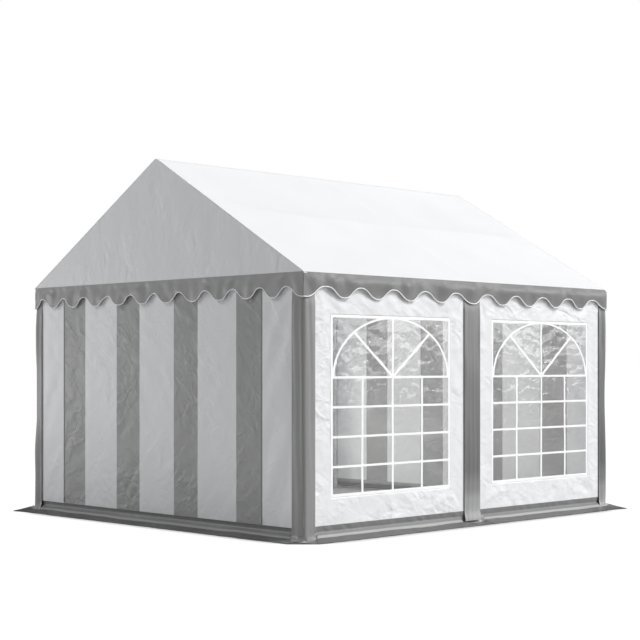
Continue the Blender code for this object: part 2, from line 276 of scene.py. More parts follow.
def hang_cloth(shape, place, shift=0.0):
    """Keeps the flat layout as UVs, shifted along, then moves each point to place(along, up)."""
    layout = shape.loops.layers.uv.new("cloth")
    for face in shape.faces:
        for corner in face.loops:
            corner[layout].uv = (corner.vert.co.x + shift, corner.vert.co.y)
    for point in shape.verts:
        point.co = place(point.co.x, point.co.y)


def add_object(name, data):
    made = bpy.data.objects.new(name, data)
    bpy.context.scene.collection.objects.link(made)
    return made


def make_piece(name, shape, material, thickness=0.0):
    """The finished object, riding on the tent. Cloth gets its thickness inwards."""
    mesh = bpy.data.meshes.new(name)
    shape.to_mesh(mesh)
    shape.free()
    mesh.shade_smooth()
    mesh.materials.append(material)
    piece = add_object(name, mesh)
    if thickness:
        wall = piece.modifiers.new("thickness", "SOLIDIFY")
        wall.thickness = thickness
        wall.offset = -1
    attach(piece, "root")
    return piece


def soft_noise(x, y, seed):
    """Smooth hills and hollows between about -1 and 1."""
    return noise.noise(Vector((x, y, seed * 7.31)))


def fade(value, start, end):
    """0 before start, 1 after end, smooth between."""
    share = min(1.0, max(0.0, (value - start) / (end - start)))
    return share * share * (3 - 2 * share)

# Roof cover
# One white sheet welded from broad strips, laid over the ridge and hooked under both eaves rails.
# It hangs a little between the ridge, the mid-slope rails and the eaves, and creases over the tubes.

_, roof_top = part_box("roof_cover")
HALF_WIDTH, HALF_LENGTH, RIDGE_Z = roof_top.x, roof_top.y, roof_top.z
EAVES_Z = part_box("gable_front")[0].z
PITCH = math.atan2(RIDGE_Z - EAVES_Z, HALF_WIDTH)
SLOPE_LENGTH = HALF_WIDTH / math.cos(PITCH)
EAVES_RADIUS = 0.012
RIDGE_EASE = 0.010
ROOF_HEM = 0.005
PURLIN_SHARE = 0.48
ROOF_SAG = 0.020
ROOF_STRAIGHT = SLOPE_LENGTH - EAVES_RADIUS * math.tan((math.pi / 2 - PITCH) / 2)
ROOF_ARC = EAVES_RADIUS * (math.pi / 2 - PITCH)
ROOF_CLIMB = 2 * (ROOF_STRAIGHT + ROOF_ARC + ROOF_HEM)


def roof_sag(down, y):
    """How far the cover hangs below its supports, at that share of the slope below the ridge."""
    near_verge = math.exp(-(y + HALF_LENGTH) / 0.35)
    rail = PURLIN_SHARE - 0.12 * near_verge
    field = down / rail if down < rail else (down - rail) / (1 - rail)
    bay = math.fmod(y + HALF_LENGTH, HALF_LENGTH) / HALF_LENGTH
    across_bay = (4 * bay * (1 - bay)) ** 0.5
    down_field = (4 * max(0.0, field * (1 - field))) ** 0.8
    depth = ROOF_SAG if down < rail else ROOF_SAG * 0.8
    return depth * across_bay * down_field


def roof_place(y, climb):
    """climb runs from the right hem over the ridge to the left hem."""
    from_ridge = climb - ROOF_CLIMB / 2
    side = -1 if from_ridge > 0 else 1
    distance = abs(from_ridge)
    if distance <= ROOF_STRAIGHT:
        x = distance * math.cos(PITCH)
        rise = math.sqrt(x * x + RIDGE_EASE * RIDGE_EASE) * math.tan(PITCH)
        down = distance / SLOPE_LENGTH
        sag = roof_sag(down, y)
        ends = fade(HALF_LENGTH - abs(y), 0.0, 0.05)
        wave = 0.0020 * soft_noise(y / 0.30, from_ridge / 0.45, 1) * ends * fade(1 - down, 0, 0.05)
        inward = sag - wave
        return Vector((side * (x - inward * math.sin(PITCH)), y, RIDGE_Z - rise - inward * math.cos(PITCH)))
    turned = min((distance - ROOF_STRAIGHT) / EAVES_RADIUS, math.pi / 2 - PITCH)
    hem = distance - ROOF_STRAIGHT - turned * EAVES_RADIUS
    angle = PITCH + turned
    x = HALF_WIDTH - EAVES_RADIUS + EAVES_RADIUS * math.sin(angle)
    centre_z = RIDGE_Z - ROOF_STRAIGHT * math.sin(PITCH) - EAVES_RADIUS * math.cos(PITCH)
    return Vector((side * x, y, centre_z + EAVES_RADIUS * math.cos(angle) - hem))


roof_shape = flat_cloth((-HALF_LENGTH, HALF_LENGTH), (0, ROOF_CLIMB), (0.025, 0.025))
for fold in (ROOF_HEM, ROOF_HEM + ROOF_ARC / 2, ROOF_HEM + ROOF_ARC):
    for height in (fold, ROOF_CLIMB - fold):
        cut_along(roof_shape, (0, height, 0), (0, 1, 0))
hang_cloth(roof_shape, roof_place)
roof_cloth = cloth_material("roof_coated_cloth", (0.80, 0.805, 0.815), 0.45, 0.0012, 0.10)
roof = make_piece("roof_sheet", roof_shape, roof_cloth, CLOTH_THICKNESS)
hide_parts("roof_cover")

# Gable triangles
# A white triangle closes each gable above the valance. It is welded to the roof cover along both
# verges, and hangs with faint upright folds from them.

GABLE_CELL = 0.03
GABLE_HEIGHT = RIDGE_Z - EAVES_Z
GABLE_TIP = 0.004
CLOTH_INSET = 0.001


def gable_place(end, along, up):
    """A point of a gable triangle. along and up start at its lower left corner, seen from outside."""
    room = min(up, (GABLE_HEIGHT - up) - abs(along) * math.tan(PITCH))
    slack = 0.0045 * soft_noise(along / 0.16, up / 0.5, 5 + end)
    slack += 0.003 * soft_noise(along / 0.5, up / 0.5, 6)
    outward = HALF_LENGTH - CLOTH_INSET + slack * fade(room, 0.0, 0.12)
    return Vector((-end * along, end * outward, EAVES_Z + up))


for gable_name, end in (("gable_front", -1), ("gable_back", 1)):
    shape = flat_cloth((-HALF_WIDTH, HALF_WIDTH), (0, GABLE_HEIGHT), (GABLE_CELL, GABLE_CELL))
    for side in (-1, 1):
        verge = Vector((side * math.sin(PITCH), math.cos(PITCH), 0))
        apex = Vector((0, GABLE_HEIGHT - GABLE_TIP, 0))
        cut_along(shape, apex, verge, keep_all=False)
        cut_along(shape, apex - verge * BORDER_ROW, verge)
    hang_cloth(shape, lambda along, up: gable_place(end, along, up))
    piece = make_piece(f"{gable_name}_sheet", shape, gable_cloth, CLOTH_THICKNESS)
    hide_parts(gable_name)

# Valance
# A grey band welded under the roof's edge all round. Its lower edge is cut by hand in waves with a
# lobe at each corner, and bound with white piping. It bulges at the weld and hangs off the walls.

LOBE_DEPTH = 0.192
NOTCH_DEPTH = 0.109
NOTCHES = {
    "front": (-1.660, -1.347, -1.037, -0.677, -0.343, -0.015, 0.317, 0.662, 0.994, 1.319, 1.617),
    "right": (-1.769, -1.383, -0.991, -0.604, -0.213, 0.225, 0.605, 1.002, 1.383, 1.766),
}
NOTCHES["back"], NOTCHES["left"] = NOTCHES["front"], NOTCHES["right"]
VALANCE_BULGE = 0.018
ROUND = 4 * (HALF_WIDTH + HALF_LENGTH)
END_GREY = (0.350, 0.348, 0.348)
# The long sides' darker grey is painted shade.
SHADED_SIDE_GREY = (0.212, 0.211, 0.211)
PIPING_RADIUS = 0.0046
CORNER_RADIUS = 0.014
SIDES = {"front": 0, "right": 1, "back": 2, "left": 3}


def on_side(side, along, outward, up):
    """A point on a side of the tent. along runs to the right as seen from outside."""
    quarter = Matrix.Rotation(math.pi / 2 * SIDES[side], 3, "Z")
    return quarter @ Vector((along, -outward, up))


def side_sizes(side):
    """Half the side's length, and its distance from the middle."""
    return (HALF_WIDTH, HALF_LENGTH) if side in ("front", "back") else (HALF_LENGTH, HALF_WIDTH)


def wave_depth(side, along):
    """How far the band hangs there, from the notches on either hand. A lobe wraps each corner."""
    half, _ = side_sizes(side)
    cuts = NOTCHES[side]
    marks = [-2 * half - cuts[0], *cuts, 2 * half - cuts[-1]]
    along = min(max(along, marks[0]), marks[-1])
    number = max(i for i, mark in enumerate(marks[:-1]) if mark <= along + 1e-9)
    share = (along - marks[number]) / (marks[number + 1] - marks[number])
    long_side = side in ("left", "right")
    roundness = 1.0 if long_side else 0.80
    lean = 0.046 * math.sin(math.pi * share) ** 2 if side == "right" else 0.0
    lobe = max(0.0, 0.5 - 0.5 * math.cos(2 * math.pi * (share - lean))) ** roundness
    return NOTCH_DEPTH + (LOBE_DEPTH - NOTCH_DEPTH) * (0.45 * lobe + 0.55 * fade(lobe, 0.0, 1.0))


def valance_place(side, along, down):
    """down is 0 at the roof's edge and 1 at the waved lower edge. The band stands off the back posts."""
    half, away = side_sizes(side)
    depth = wave_depth(side, along)
    down = min(1.0, max(0.0, down))
    drop = depth * down
    open_run = fade(half - abs(along), 0.0, 0.12)
    seed = 11 + SIDES[side]
    if side in ("left", "right"):
        puff = VALANCE_BULGE * max(0.25, 0.80 + 1.4 * soft_noise(along / 0.15, 0.3, seed))
        swell = math.sin(math.pi / 2 * min(1.0, drop / 0.070)) - 0.92 * fade(drop, 0.060, 0.190)
    else:
        puff = VALANCE_BULGE * (0.85 + 0.55 * soft_noise(along / 0.17, 0.3, seed))
        billow = 0.85 * soft_noise(along / 0.095, drop / 0.13, 3) * fade(drop, 0, 0.05)
        swell = 0.40 * fade(drop, -0.02, 0.11) + billow
    slack = 0.006 * soft_noise(along / 0.10, drop / 0.16, seed + 9) * fade(down, 0.05, 0.5)
    outward = -0.0006 + (puff * swell + slack) * (0.25 + 0.75 * open_run) + 0.003 * down
    at_back = side == "back" or (side == "right" and along > 0) or (side == "left" and along < 0)
    if at_back:
        outward += 0.018 * (1 - open_run) * min(1.0, drop / 0.02)
    bend = max(0.0, abs(along) - (half - CORNER_RADIUS)) / CORNER_RADIUS * math.pi / 4
    straight = min(abs(along), half - CORNER_RADIUS)
    reach = straight + (CORNER_RADIUS + outward) * math.sin(bend)
    distance = away - CORNER_RADIUS + (CORNER_RADIUS + outward) * math.cos(bend)
    return on_side(side, math.copysign(reach, along), distance, EAVES_Z - CLOTH_INSET - drop)


def round_the_tent(distance):
    """The side, and the place along it, at that distance round the tent from its front left corner."""
    for side in SIDES:
        half, _ = side_sizes(side)
        if distance <= 2 * half or side == "left":
            return side, min(distance, 2 * half) - half
        distance -= 2 * half


def tone_ramp(tree, share, stops, interpolation):
    """Colours along a share from 0 to 1. Each stop is its place and its colour."""
    ramp = add_node(tree, "ValToRGB", {"Fac": share})
    ramp.color_ramp.interpolation = interpolation
    marks = ramp.color_ramp.elements
    for number, (place, colour) in enumerate(stops):
        mark = marks[number] if number < 2 else marks.new(1.0)
        mark.position = place
        mark.color = (*colour, 1)
    return ramp.outputs["Color"]


def band_painted_shade(tree, layout):
    """Painted shade: the band's long sides get a darker grey than its ends."""
    end_share = HALF_WIDTH / ROUND * 2
    corners = ((0.0, END_GREY), (end_share, SHADED_SIDE_GREY), (0.5, END_GREY), (0.5 + end_share, SHADED_SIDE_GREY))
    return tone_ramp(tree, work_out(tree, "DIVIDE", axis_of(tree, layout, "X"), ROUND), corners, "CONSTANT")


band_cloth = cloth_material("band_coated_cloth", band_painted_shade, 0.36, 0.0040, 0.05)
valance_shape = flat_cloth((0, ROUND), (0, LOBE_DEPTH), (0.0125, 0.0125))
for corner_at in (2 * HALF_WIDTH, 2 * HALF_WIDTH + 2 * HALF_LENGTH, ROUND - 2 * HALF_LENGTH):
    for bend_at in (-CORNER_RADIUS, -CORNER_RADIUS / 2, 0, CORNER_RADIUS / 2, CORNER_RADIUS):
        cut_along(valance_shape, (corner_at + bend_at, 0, 0), (1, 0, 0))
hang_cloth(
    valance_shape,
    lambda distance, up: valance_place(*round_the_tent(distance), 1 - up / LOBE_DEPTH),
)
bmesh.ops.remove_doubles(valance_shape, verts=valance_shape.verts, dist=0.0001)
valance = make_piece("valance_band", valance_shape, band_cloth, CLOTH_THICKNESS)
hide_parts("valance_front", "valance_right", "valance_back", "valance_left")


def piping_material():
    """Smooth white vinyl round a cord."""
    made, tree, shader = new_material("white_piping")
    shine = in_range(tree, grain_of(tree, object_place(tree), 60), 0.35, 0.55)
    fill(tree, shader, {"Base Color": (0.93, 0.93, 0.92, 1), "Roughness": shine})
    return made


PIPING_STEPS = 1500
piping_line = bpy.data.curves.new("valance_piping", "CURVE")
piping_line.dimensions = "3D"
piping_line.bevel_depth = PIPING_RADIUS
piping_line.bevel_resolution = 1
run = piping_line.splines.new("POLY")
run.points.add(PIPING_STEPS - 1)
for step, point in enumerate(run.points):
    point.co = (*valance_place(*round_the_tent(ROUND * step / PIPING_STEPS), 1.0), 1)
run.use_cyclic_u = True
run.use_smooth = True
piping_line.materials.append(piping_material())
piping = add_object("valance_piping", piping_line)
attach(piping, "root")

# Long walls
# A white panel along each side, cut out for two windows. It hangs from the eaves rail behind the
# valance, is pulled down to the ground band, and puckers a little round the welded windows.

WALL_OUT = {"right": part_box("right_wall")[1].x, "front": -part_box("front_door")[0].y}
WALL_OUT["left"], WALL_OUT["back"] = WALL_OUT["right"], WALL_OUT["front"]
SIDE_FOOT_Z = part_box("right_wall")[0].z - 0.012
WALL_TOP_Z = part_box("right_wall")[1].z
WALL_CELL = (0.018, 0.018)
BAY_STARTS = (-WALL_OUT["front"] + 0.13, 0.10)
BAY_ENDS = (-0.10, WALL_OUT["front"] - 0.13)
window_low, window_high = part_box("right_window_front")
WINDOW_HALF = (window_high.y - window_low.y) / 2 + 0.012
WINDOW_CENTRES = {"front": window_low.y + 0.722, "back": -window_high.y + 0.712}
SILL_Z, HEAD_Z = window_low.z - 0.013, window_high.z + 0.008


def wall_slack(along, up, seed, low, high):
    """Out-of-plane shape of a hanging wall: broad billows, upright folds and slanting pulls."""
    broad = 0.0040 * soft_noise(along / 0.55, up / 0.75, seed)
    upright = 0.0030 * soft_noise(along / 0.11, up / 0.60, seed + 1)
    high_up = fade(up, 0.35, 1.0)
    slant = (0.0020 + 0.0035 * high_up) * soft_noise((along + up) / 0.14, (along - up) / 0.40, seed + 2)
    back = (0.0065 - 0.0025 * high_up) * soft_noise((along - up) / 0.12, (along + up) / 0.35, seed + 3)
    held = fade(up, low, low + 0.05) * fade(-up, -high, -high + 0.05)
    return (broad + upright + slant + back) * held


def corner_pulls(along, up, seed):
    """Folds that fan out from each upper corner of a bay, and fainter ones from the lower corners."""
    height = 0.0
    for post in BAY_STARTS + BAY_ENDS:
        for level, strength in ((WALL_TOP_Z - 0.08, 0.0085), (SIDE_FOOT_Z, 0.0065)):
            arm = Vector((along - post, up - level))
            if (arm.x > 0) == (post in BAY_STARTS):
                angle = math.atan2(arm.y, arm.x)
                fan = soft_noise(angle * 3.2, arm.length / 0.9, seed + post + level)
                fan += 0.30 * soft_noise(angle * 8.5, arm.length / 0.7, seed + post + level + 1)
                height += strength * fan * fade(arm.length, 0.03, 0.16) * (1 - fade(arm.length, 0.30, 0.62))
    return height


def window_distance(along, up):
    """Distance outside the nearest window's edge. Negative inside it."""
    from_window = min(abs(along - centre) for centre in WINDOW_CENTRES.values()) - WINDOW_HALF
    from_sill = max(SILL_Z - up, up - HEAD_Z)
    return max(from_window, from_sill)


def side_wall_place(side, along, up):
    """A point of a long wall. It is held at the posts, its edges and the windows."""
    half = WALL_OUT["front"]
    held = fade(half - abs(along), 0.10, 0.22) * fade(abs(along), 0.09, 0.20)
    by_window = 0.25 + 0.75 * fade(window_distance(along, up), 0.0, 0.10)
    slack = wall_slack(along, up, 20 + SIDES[side], SIDE_FOOT_Z, WALL_TOP_Z)
    slack += corner_pulls(along, up, 27 + SIDES[side]) * fade(up, SIDE_FOOT_Z, SIDE_FOOT_Z + 0.05)
    return on_side(side, along, WALL_OUT[side] - CLOTH_INSET + slack * held * by_window, up)


for side in ("right", "left"):
    half = WALL_OUT["front"]
    shape = flat_cloth((-half, half), (SIDE_FOOT_Z, WALL_TOP_Z), WALL_CELL)
    for cut in [c + edge for c in WINDOW_CENTRES.values() for edge in (-WINDOW_HALF, WINDOW_HALF)]:
        cut_along(shape, (cut, 0, 0), (1, 0, 0))
    for cut in (SILL_Z, HEAD_Z):
        cut_along(shape, (0, cut, 0), (0, 1, 0))
    opening = [f for f in shape.faces if window_distance(*f.calc_center_median().xy) < 0]
    bmesh.ops.delete(shape, geom=opening, context="FACES")
    hang_cloth(shape, lambda along, up: side_wall_place(side, along, up))
    piece = make_piece(f"{side}_wall_panel", shape, white_cloth, CLOTH_THICKNESS)
    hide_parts(f"{side}_wall")
    wide, tall = 2 * half, WALL_TOP_Z - SIDE_FOOT_Z

# Windows
# Clear film welded into each opening, with flat white strips welded on top: a frame, a round-headed
# fan of five strips above, and a grid of four by four panes below. The film is rippled and glossy.

BAR_WIDTH = 0.022
LEVEL_WIDTH = 0.018
FRAME_WIDTH = 0.023
BAR_THICKNESS = 0.0016
FILM_THICKNESS = 0.0005
FILM_CELL = (0.02, 0.012)
FILM_INSET = 0.0012
BARS_INSET = 0.0010
SPRING_Z = 1.270
ARCH_RISE = HEAD_Z - SPRING_Z - 0.012
RAY_END = (0.445, 0.352)
PANE_ROWS = 4


def film_material():
    """Clear vinyl film. Its rippled coat bends the reflections, and light passes straight through."""
    made, tree, shader = new_material("clear_window_film")
    layout = cloth_layout(tree)
    streaks = turn_and_scale(tree, layout, math.radians(-28), (9.0, 24.0, 1.0))
    ripple = grain_of(tree, streaks, 1.0, 1.2, 1.9)
    low, high = SILL_Z + 0.35, SPRING_Z + 0.1
    upper = in_range(tree, axis_of(tree, layout, "Y"), 0.15, 0.80, low, high, interpolation_type="SMOOTHSTEP")
    swell = work_out(tree, "MULTIPLY", ripple, upper)
    slanted = turn_and_scale(tree, layout, math.radians(38), (1.1, 3.0, 1.0))
    fold = grain_of(tree, slanted, 1.0, 0.0)
    broad = work_out(tree, "MULTIPLY_ADD", fold, 4.0, swell)
    bend = add_node(tree, "Bump", {"Distance": 0.014, "Height": broad})
    haze = in_range(tree, ripple, 0.06, 0.16)
    fill(tree, shader, {"Base Color": (0.975, 0.972, 0.960, 1), "IOR": 1.45, "Roughness": 0.0})
    fill(tree, shader, {"Coat Weight": 1.0, "Coat IOR": 1.5, "Coat Roughness": haze})
    fill(tree, shader, {"Coat Normal": bend.outputs["Normal"]})
    shader.inputs["Transmission Weight"].default_value = 1.0
    shadow = add_node(tree, "LightPath").outputs["Is Shadow Ray"]
    clear = add_node(tree, "BsdfTransparent").outputs[0]
    either = add_node(tree, "MixShader", {0: shadow, 1: shader.outputs[0], 2: clear})
    fill(tree, tree.nodes["Material Output"], {"Surface": either.outputs[0]})
    return made


def strip_material():
    """Smooth white vinyl strip, brighter than the wall cloth."""
    made, tree, shader = new_material("window_strip")
    mottle = grain_of(tree, object_place(tree), 9)
    tone = mix_colours(tree, mottle, (0.95, 0.95, 0.95, 1), (0.98, 0.98, 0.98, 1))
    fill(tree, shader, {"Base Color": tone, "Roughness": 0.32})
    return made


window_film = film_material()
window_strip = strip_material()


def add_strip(shape, start, end, width):
    """A flat strip between two points of the window's plane, lying on the film."""
    start, end = Vector(start), Vector(end)
    run = end - start
    turn = Matrix.Rotation(math.atan2(run.y, run.x), 4, "Z")
    size = Matrix.Diagonal((run.length, width, BAR_THICKNESS, 1))
    middle = (start + end) / 2
    place = Matrix.Translation((middle.x, middle.y, BAR_THICKNESS / 2)) @ turn @ size
    bmesh.ops.create_cube(shape, size=1.0, matrix=place)


def add_arch(shape):
    """The half-round strip, spun as a circle and then eased to the window's height."""
    outer = WINDOW_HALF - 0.018
    inner = outer - BAR_WIDTH
    arch = bmesh.new()
    corners = [(inner, 0, 0), (outer, 0, 0), (outer, 0, BAR_THICKNESS), (inner, 0, BAR_THICKNESS)]
    start = arch.faces.new([arch.verts.new(corner) for corner in corners])
    bmesh.ops.spin(
        arch,
        geom=[start] + start.verts[:] + start.edges[:],
        cent=(0, 0, 0),
        axis=(0, 0, 1),
        angle=math.pi,
        steps=48,
    )
    bmesh.ops.scale(arch, vec=(1, ARCH_RISE / (outer - BAR_WIDTH * 0.2), 1), verts=arch.verts)
    bmesh.ops.recalc_face_normals(arch, faces=arch.faces)
    bmesh.ops.translate(arch, vec=(0, SPRING_Z, 0), verts=arch.verts)
    made = bpy.data.meshes.new("arch")
    arch.to_mesh(made)
    arch.free()
    shape.from_mesh(made)
    bpy.data.meshes.remove(made)


def window_bars():
    """All the strips of a window, in its own plane: X along the wall, Y up, Z outwards."""
    shape = bmesh.new()
    half, inset = WINDOW_HALF, FRAME_WIDTH / 2
    for x in (-half + inset, half - inset):
        add_strip(shape, (x, SILL_Z), (x, HEAD_Z), FRAME_WIDTH)
    for y in (SILL_Z + inset, HEAD_Z - inset):
        add_strip(shape, (-half + FRAME_WIDTH, y), (half - FRAME_WIDTH, y), FRAME_WIDTH)
    add_strip(shape, (0, SILL_Z + FRAME_WIDTH), (0, HEAD_Z - FRAME_WIDTH), BAR_WIDTH)
    rows = [SILL_Z + (SPRING_Z - SILL_Z) * row / PANE_ROWS for row in range(1, PANE_ROWS + 1)]
    inner = half - FRAME_WIDTH
    for y in rows:
        for x in (-inner, BAR_WIDTH / 2):
            add_strip(shape, (x, y), (x + inner - BAR_WIDTH / 2, y), LEVEL_WIDTH)
    for x in (-half / 2, half / 2):
        levels = [SILL_Z + FRAME_WIDTH - LEVEL_WIDTH / 2] + rows
        for low, high in zip(levels, levels[1:]):
            add_strip(shape, (x, low + LEVEL_WIDTH / 2), (x, high - LEVEL_WIDTH / 2), BAR_WIDTH)
    for side in (-1, 1):
        start = (side * BAR_WIDTH / 2, SPRING_Z + BAR_WIDTH / 2)
        add_strip(shape, start, (side * RAY_END[0], SPRING_Z + RAY_END[1]), BAR_WIDTH)
    add_arch(shape)
    return shape


def window_place(side, centre, along, up, outward):
    """A point of a window. The film hangs in the wall's plane and bows a little with it."""
    near_edge = min(WINDOW_HALF - abs(along), up - SILL_Z, HEAD_Z - up)
    at = along + centre
    seed = 40 + SIDES[side]
    bow = 0.0035 * soft_noise(at / 0.30, up / 0.35, seed)
    warp = 0.05 * soft_noise(at / 0.10, up / 0.10, seed + 1)
    upper = 0.25 + 0.75 * fade(up, SILL_Z + 0.25, SPRING_Z + 0.1)
    bow += 0.0030 * upper * soft_noise(at / 0.10, (up + warp) / 0.045, seed + 2)
    return on_side(side, centre + along, WALL_OUT[side] + outward + bow * fade(near_edge, 0.0, 0.12), up)


for side in ("right", "left"):
    for bay in ("front", "back"):
        centre = WINDOW_CENTRES[bay if side == "right" else {"front": "back", "back": "front"}[bay]]
        film_shape = flat_cloth((-WINDOW_HALF, WINDOW_HALF), (SILL_Z, HEAD_Z), FILM_CELL)
        hang_cloth(film_shape, lambda along, up: window_place(side, centre, along, up, -FILM_INSET), centre)
        film = make_piece(f"{side}_film_{bay}", film_shape, window_film, FILM_THICKNESS)
        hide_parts(f"{side}_window_{bay}")
        size = (2 * WINDOW_HALF, HEAD_Z - SILL_Z)
        bars_shape = window_bars()
        for _ in range(2):
            long_edges = [e for e in bars_shape.edges if e.calc_length() > 0.06]
            bmesh.ops.subdivide_edges(bars_shape, edges=long_edges, cuts=2, use_grid_fill=True)
        for point in bars_shape.verts:
            along, up, outward = point.co
            point.co = window_place(side, centre, along, up, outward - BARS_INSET)
        bars = make_piece(f"{side}_window_bars_{bay}", bars_shape, window_strip)
        bars.data.set_sharp_from_angle(angle=SHARP_ANGLE)

# Entrance gable and back gable
# Broad grey strips alternate with white ones, welded edge to edge. At the front the middle part
# rolls up between two zips, with a fixed strip each side. The back is one piece.

STRIPE_EDGES = (0.1226, 0.2112, 0.3418, 0.4311, 0.5592, 0.6478, 0.7777, 0.8655)
STRIPE_GREY = (0.345, 0.345, 0.345)
GABLE_FOOT_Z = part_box("front_door")[0].z - 0.009
GABLE_TOP_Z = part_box("front_door")[1].z
GABLE_SIDE = WALL_OUT["right"] - 0.003
DOOR_EDGES = {"left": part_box("front_door")[0].x - 0.027, "right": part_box("front_door")[1].x - 0.016}
DOOR_GAP = 0.0003
BACK_STRIPES_SHIFT = 0.014


def stripe_colour(tree, layout):
    """White and grey strips by the distance across the gable."""
    share = in_range(tree, axis_of(tree, layout, "X"), 0.0, 1.0, -HALF_WIDTH, HALF_WIDTH)
    strips = [(0.0, WHITE)]
    for number, edge in enumerate(STRIPE_EDGES):
        strips.append((edge, WHITE if number % 2 else STRIPE_GREY))
    return tone_ramp(tree, share, strips, "CONSTANT")


striped_cloth = cloth_material(
    "striped_coated_cloth", stripe_colour, 0.34, 0.0130, 0.13, white_creases=0.40
)


def gable_wall_place(side, along, up, seed):
    """A point of a striped wall. It is pulled flat beside the zips, and drapes between them and the post."""
    half = WALL_OUT["right"]
    slack = 0.30 * wall_slack(along, up, seed, GABLE_FOOT_Z, GABLE_TOP_Z)
    beyond = max(DOOR_EDGES["left"] - along, along - DOOR_EDGES["right"])
    fixed = fade(beyond, -0.05, 0.10)
    drape = 0.015 * soft_noise((along - 0.5 * up) / 0.20, up / 0.9, seed + 5) * fixed
    if along < 0:
        drape *= 0.4
    held = fade(half - abs(along), 0.11, 0.20)
    by_zip = 0.15 + 0.85 * fade(abs(beyond), 0.0, 0.10)
    if side == "back":
        by_zip = 1.0
    shape = (slack * by_zip + drape * by_zip) * held
    return on_side(side, along, WALL_OUT[side] - CLOTH_INSET + shape, up)


for node_name, side, low, high in (
    ("front_door", "front", DOOR_EDGES["left"], DOOR_EDGES["right"]),
    ("front_wall_left", "front", -GABLE_SIDE, DOOR_EDGES["left"] - DOOR_GAP),
    ("front_wall_right", "front", DOOR_EDGES["right"] + DOOR_GAP, GABLE_SIDE),
    ("back_wall", "back", -GABLE_SIDE, GABLE_SIDE),
):
    shape = flat_cloth((low, high), (GABLE_FOOT_Z, GABLE_TOP_Z), WALL_CELL)
    seed = 60 if side == "front" else 70
    shift = 0.0 if side == "front" else BACK_STRIPES_SHIFT
    hang_cloth(shape, lambda along, up: gable_wall_place(side, along, up, seed), shift)
    piece = make_piece(f"{node_name}_cloth", shape, striped_cloth, CLOTH_THICKNESS)
    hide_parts(node_name)
    size = (high - low, GABLE_TOP_Z - GABLE_FOOT_Z)

# Zips
# A coarse moulded zip runs up each side of the entrance: a grey tape welded to the cloth, two rows
# of small teeth that meet, and a slider with a pull, parked at the foot.

ZIP_TAPE_WIDTH = 0.018
ZIP_TAPE_THICKNESS = 0.0006
TOOTH_PITCH = 0.006
TOOTH_SHIFT = 0.0011
TAPE_PROUD, TEETH_PROUD, SLIDER_PROUD = 0.0008, 0.0022, 0.004
ZIP_INSET = 0.008
TOOTH_SIZE = (0.0048, 0.0026, 0.0034)
SLIDER_SIZE = (0.012, 0.007, 0.018)
PULL_SIZE = (0.007, 0.0018, 0.034)
PULL_PLACE = Vector((0, -0.005, 0.016))
SLIDER_EDGE = {"offset": 0.0007, "segments": 2, "profile": 0.5, "affect": "EDGES", "material": -1}


def zip_material(name, colour, roughness):
    """Moulded plastic or woven tape with a fine grain."""
    made, tree, shader = new_material(name)
    grain = grain_of(tree, object_place(tree), 900)
    relief = add_node(tree, "Bump", {"Distance": 0.0002, "Height": grain}).outputs["Normal"]
    fill(tree, shader, {"Base Color": (*colour, 1), "Roughness": roughness, "Normal": relief})
    return made


def add_block(shape, place, size):
    matrix = Matrix.Translation(place) @ Matrix.Diagonal((*size, 1))
    bmesh.ops.create_cube(shape, size=1.0, matrix=matrix)


zip_tape = zip_material("zip_tape", (0.34, 0.34, 0.345), 0.6)
zip_teeth = zip_material("zip_teeth", (0.42, 0.42, 0.425), 0.4)
zip_foot, zip_top = GABLE_FOOT_Z + 0.01, GABLE_TOP_Z - 0.02
for zip_side, name in ((-1, "left"), (1, "right")):
    line = DOOR_EDGES[name] - zip_side * ZIP_INSET
    shape = flat_cloth((-ZIP_TAPE_WIDTH / 2, ZIP_TAPE_WIDTH / 2), (zip_foot, zip_top), (0.006, 0.018))

    def on_zip(across, up, proud=TAPE_PROUD):
        return gable_wall_place("front", line + across, up, 60) + Vector((0, -proud, 0))

    hang_cloth(shape, on_zip)
    tape = make_piece(f"zip_tape_{name}", shape, zip_tape, ZIP_TAPE_THICKNESS)
    teeth_shape = bmesh.new()
    for tooth in range(int((zip_top - zip_foot) / TOOTH_PITCH)):
        across = TOOTH_SHIFT if tooth % 2 else -TOOTH_SHIFT
        add_block(teeth_shape, on_zip(across, zip_foot + tooth * TOOTH_PITCH, TEETH_PROUD), TOOTH_SIZE)
    make_piece(f"zip_teeth_{name}", teeth_shape, zip_teeth).data.shade_flat()
    slider_shape = bmesh.new()
    at = on_zip(0, zip_foot + 0.012, SLIDER_PROUD)
    add_block(slider_shape, at, SLIDER_SIZE)
    add_block(slider_shape, at + PULL_PLACE, PULL_SIZE)
    bmesh.ops.bevel(slider_shape, geom=slider_shape.edges[:], **SLIDER_EDGE)
    make_piece(f"zip_slider_{name}", slider_shape, zinc)

# Strips over the posts
# Grey cloth closes over each post from the valance to the ground: an angle at the corners and a
# flat strip at mid length. They aren't pulled tight, so they hang in upright folds.

strip_low, strip_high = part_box("corner_strip_front_right")
CORNER_LEG = strip_high.x - strip_low.x
STRIP_OUT_X, STRIP_OUT_Y = strip_high.x, -strip_low.y
STRIP_FOOT_Z, STRIP_TOP_Z = strip_low.z, strip_high.z
POST_BEND = 0.020
STRIP_CELL = (0.008, 0.02)
NEAR_FOOT_Z, CORNER_FOOT_Z = 0.008, 0.036
END_LEG_GREY = (0.315, 0.313, 0.313, 1)
# The long-wall leg's darker grey is painted shade.
SHADED_SIDE_LEG_GREY = (0.262, 0.260, 0.260, 1)
# Painted shade and a painted highlight up the mid and back strips, from the foot to the top.
STRIP_PAINTED_TONES = ((0.0, 0.40), (0.075, 0.33), (0.13, 0.22), (0.22, 0.147), (0.5, 0.175), (0.95, 0.245))


def strip_leg_painted_shade(tree, layout):
    """Painted shade: a corner strip's leg on the long wall gets a darker grey than its leg on the gable."""
    leg = work_out(tree, "GREATER_THAN", axis_of(tree, layout, "X"), 0.0)
    return mix_colours(tree, leg, END_LEG_GREY, SHADED_SIDE_LEG_GREY)


